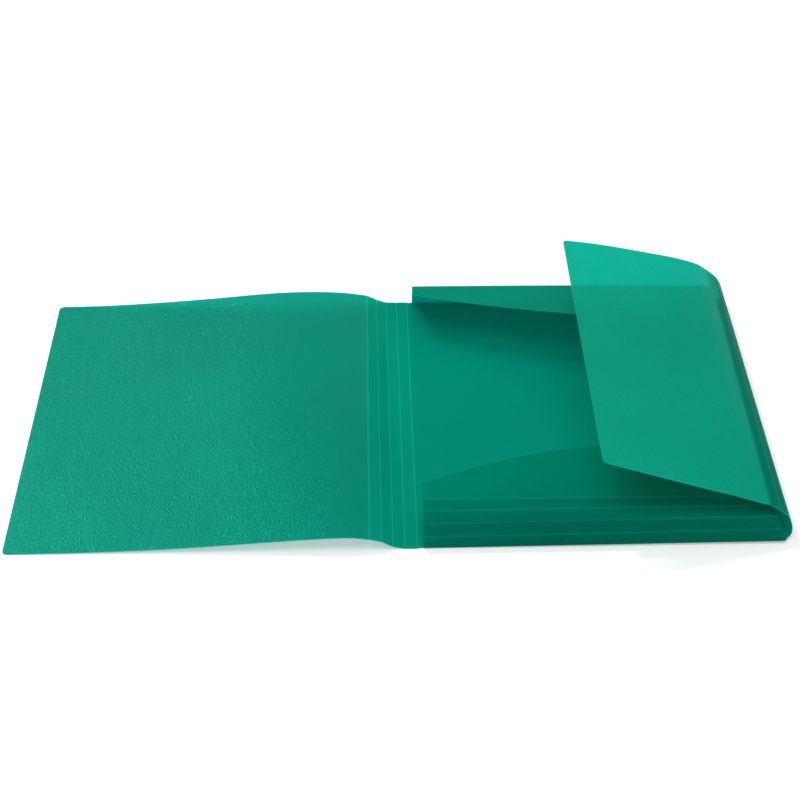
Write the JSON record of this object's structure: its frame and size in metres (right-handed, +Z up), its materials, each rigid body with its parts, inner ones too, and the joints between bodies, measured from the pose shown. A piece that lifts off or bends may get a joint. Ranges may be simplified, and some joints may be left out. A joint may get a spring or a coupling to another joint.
{
  "type": "three-flap document folder",
  "caption": "Document folder of scored translucent plastic sheet, lying open, with a creased spine, creased gussets and three folding flaps over the paper space.",
  "frame": {"origin": "centre of the back cover's underside, on the table", "axes": "+X from the spine towards the side flap, +Y towards the top flap, +Z up from the table"},
  "size_m": [0.5171, 0.3204, 0.0602],
  "materials": {
    "front_film": "frosted translucent green polypropylene with a fine embossed grain",
    "spine_film": "frosted translucent green polypropylene, creased",
    "back_film": "frosted translucent green polypropylene",
    "gusset_film": "frosted translucent green polypropylene, creased",
    "flap_film": "frosted translucent green polypropylene"
  },
  "bodies": {
    "back_cover": {"back_cover": "back_film"},
    "spine_strip_1": {"spine_strip_1": "spine_film"},
    "spine_strip_2": {"spine_strip_2": "spine_film"},
    "spine_strip_3": {"spine_strip_3": "spine_film"},
    "spine_strip_4": {"spine_strip_4": "spine_film"},
    "front_cover": {"front_cover": "front_film"},
    "side_gusset_1": {"side_gusset_1": "gusset_film"},
    "side_gusset_2": {"side_gusset_2": "gusset_film"},
    "side_gusset_3": {"side_gusset_3": "gusset_film"},
    "side_gusset_4": {"side_gusset_4": "gusset_film"},
    "side_flap": {"side_flap": "flap_film"},
    "top_gusset_1": {"top_gusset_1": "gusset_film"},
    "top_gusset_2": {"top_gusset_2": "gusset_film"},
    "top_gusset_3": {"top_gusset_3": "gusset_film"},
    "top_gusset_4": {"top_gusset_4": "gusset_film"},
    "top_flap": {"top_flap": "flap_film"},
    "bottom_gusset_1": {"bottom_gusset_1": "gusset_film"},
    "bottom_gusset_2": {"bottom_gusset_2": "gusset_film"},
    "bottom_gusset_3": {"bottom_gusset_3": "gusset_film"},
    "bottom_gusset_4": {"bottom_gusset_4": "gusset_film"},
    "bottom_flap": {"bottom_flap": "flap_film"}
  },
  "joints": [
    {"name": "spine_score_1", "type": "hinge", "parent": "back_cover", "child": "spine_strip_1", "pos_m": [-0.122, 0, 0.00025], "axis": [0, 1, 0], "range_deg": [0, 60]},
    {"name": "spine_score_2", "type": "hinge", "parent": "spine_strip_1", "child": "spine_strip_2", "pos_m": [-0.1302, 0, 0.00025], "axis": [0, 1, 0], "range_deg": [0, 10]},
    {"name": "spine_score_3", "type": "hinge", "parent": "spine_strip_2", "child": "spine_strip_3", "pos_m": [-0.1384, 0, 0.00025], "axis": [0, 1, 0], "range_deg": [0, 10]},
    {"name": "spine_score_4", "type": "hinge", "parent": "spine_strip_3", "child": "spine_strip_4", "pos_m": [-0.14577, 0, 0.00384], "axis": [0, 1, 0], "range_deg": [0, 10]},
    {"name": "spine_score_5", "type": "hinge", "parent": "spine_strip_4", "child": "front_cover", "pos_m": [-0.15314, 0, 0.00744], "axis": [0, 1, 0], "range_deg": [0, 90]},
    {"name": "side_gusset_fold", "type": "hinge", "parent": "back_cover", "child": "side_gusset_1", "pos_m": [0.122, 0, 0.00025], "axis": [0, -1, 0], "range_deg": [-77, 0]},
    {"name": "side_gusset_score_1", "type": "hinge", "parent": "side_gusset_1", "child": "side_gusset_2", "pos_m": [0.12389, 0, 0.00843], "axis": [0, -1, 0], "range_deg": [-33, 0]},
    {"name": "side_gusset_score_2", "type": "hinge", "parent": "side_gusset_2", "child": "side_gusset_3", "pos_m": [0.12102, 0, 0.01633], "axis": [0, -1, 0], "range_deg": [-22, 0]},
    {"name": "side_gusset_score_3", "type": "hinge", "parent": "side_gusset_3", "child": "side_gusset_4", "pos_m": [0.1154, 0, 0.02257], "axis": [0, -1, 0], "range_deg": [-10, 0]},
    {"name": "side_flap_fold", "type": "hinge", "parent": "side_gusset_4", "child": "side_flap", "pos_m": [0.10878, 0, 0.02774], "axis": [0, -1, 0], "range_deg": [-22, 16]},
    {"name": "top_gusset_fold", "type": "hinge", "parent": "back_cover", "child": "top_gusset_1", "pos_m": [0, 0.16, 0.00025], "axis": [1, 0, 0], "range_deg": [-102, 0]},
    {"name": "top_gusset_score_1", "type": "hinge", "parent": "top_gusset_1", "child": "top_gusset_2", "pos_m": [0, 0.15825, 0.00847], "axis": [1, 0, 0], "range_deg": [-17, 0]},
    {"name": "top_gusset_score_2", "type": "hinge", "parent": "top_gusset_2", "child": "top_gusset_3", "pos_m": [0, 0.15418, 0.01581], "axis": [1, 0, 0], "range_deg": [-19, 0]},
    {"name": "top_gusset_score_3", "type": "hinge", "parent": "top_gusset_3", "child": "top_gusset_4", "pos_m": [0, 0.14794, 0.02143], "axis": [1, 0, 0], "range_deg": [-15, 0]},
    {"name": "top_flap_fold", "type": "hinge", "parent": "top_gusset_4", "child": "top_flap", "pos_m": [0, 0.14045, 0.02525], "axis": [1, 0, 0], "range_deg": [-19, 13.9]},
    {"name": "bottom_gusset_fold", "type": "hinge", "parent": "back_cover", "child": "bottom_gusset_1", "pos_m": [0, -0.16, 0.00025], "axis": [-1, 0, 0], "range_deg": [-102, 0]},
    {"name": "bottom_gusset_score_1", "type": "hinge", "parent": "bottom_gusset_1", "child": "bottom_gusset_2", "pos_m": [0, -0.15825, 0.00847], "axis": [-1, 0, 0], "range_deg": [-17, 0]},
    {"name": "bottom_gusset_score_2", "type": "hinge", "parent": "bottom_gusset_2", "child": "bottom_gusset_3", "pos_m": [0, -0.15418, 0.01581], "axis": [-1, 0, 0], "range_deg": [-19, 0]},
    {"name": "bottom_gusset_score_3", "type": "hinge", "parent": "bottom_gusset_3", "child": "bottom_gusset_4", "pos_m": [0, -0.14794, 0.02143], "axis": [-1, 0, 0], "range_deg": [-15, 0]},
    {"name": "bottom_flap_fold", "type": "hinge", "parent": "bottom_gusset_4", "child": "bottom_flap", "pos_m": [0, -0.14045, 0.02525], "axis": [-1, 0, 0], "range_deg": [-19, 13.9]}
  ],
  "couplings": [
    {"joint": "side_gusset_score_1", "follows": "side_gusset_fold", "ratio": 0.4285},
    {"joint": "side_gusset_score_2", "follows": "side_gusset_fold", "ratio": 0.2857},
    {"joint": "side_gusset_score_3", "follows": "side_gusset_fold", "ratio": 0.1298},
    {"joint": "top_gusset_fold", "follows": "side_gusset_fold", "ratio": 1.3246},
    {"joint": "top_gusset_score_1", "follows": "side_gusset_fold", "ratio": 0.2207},
    {"joint": "top_gusset_score_2", "follows": "side_gusset_fold", "ratio": 0.2467},
    {"joint": "top_gusset_score_3", "follows": "side_gusset_fold", "ratio": 0.1948},
    {"joint": "bottom_gusset_fold", "follows": "side_gusset_fold", "ratio": 1.3246},
    {"joint": "bottom_gusset_score_1", "follows": "side_gusset_fold", "ratio": 0.2207},
    {"joint": "bottom_gusset_score_2", "follows": "side_gusset_fold", "ratio": 0.2467},
    {"joint": "bottom_gusset_score_3", "follows": "side_gusset_fold", "ratio": 0.1948},
    {"joint": "top_flap_fold", "follows": "side_flap_fold", "ratio": 0.8636},
    {"joint": "bottom_flap_fold", "follows": "side_flap_fold", "ratio": 0.8636}
  ]
}
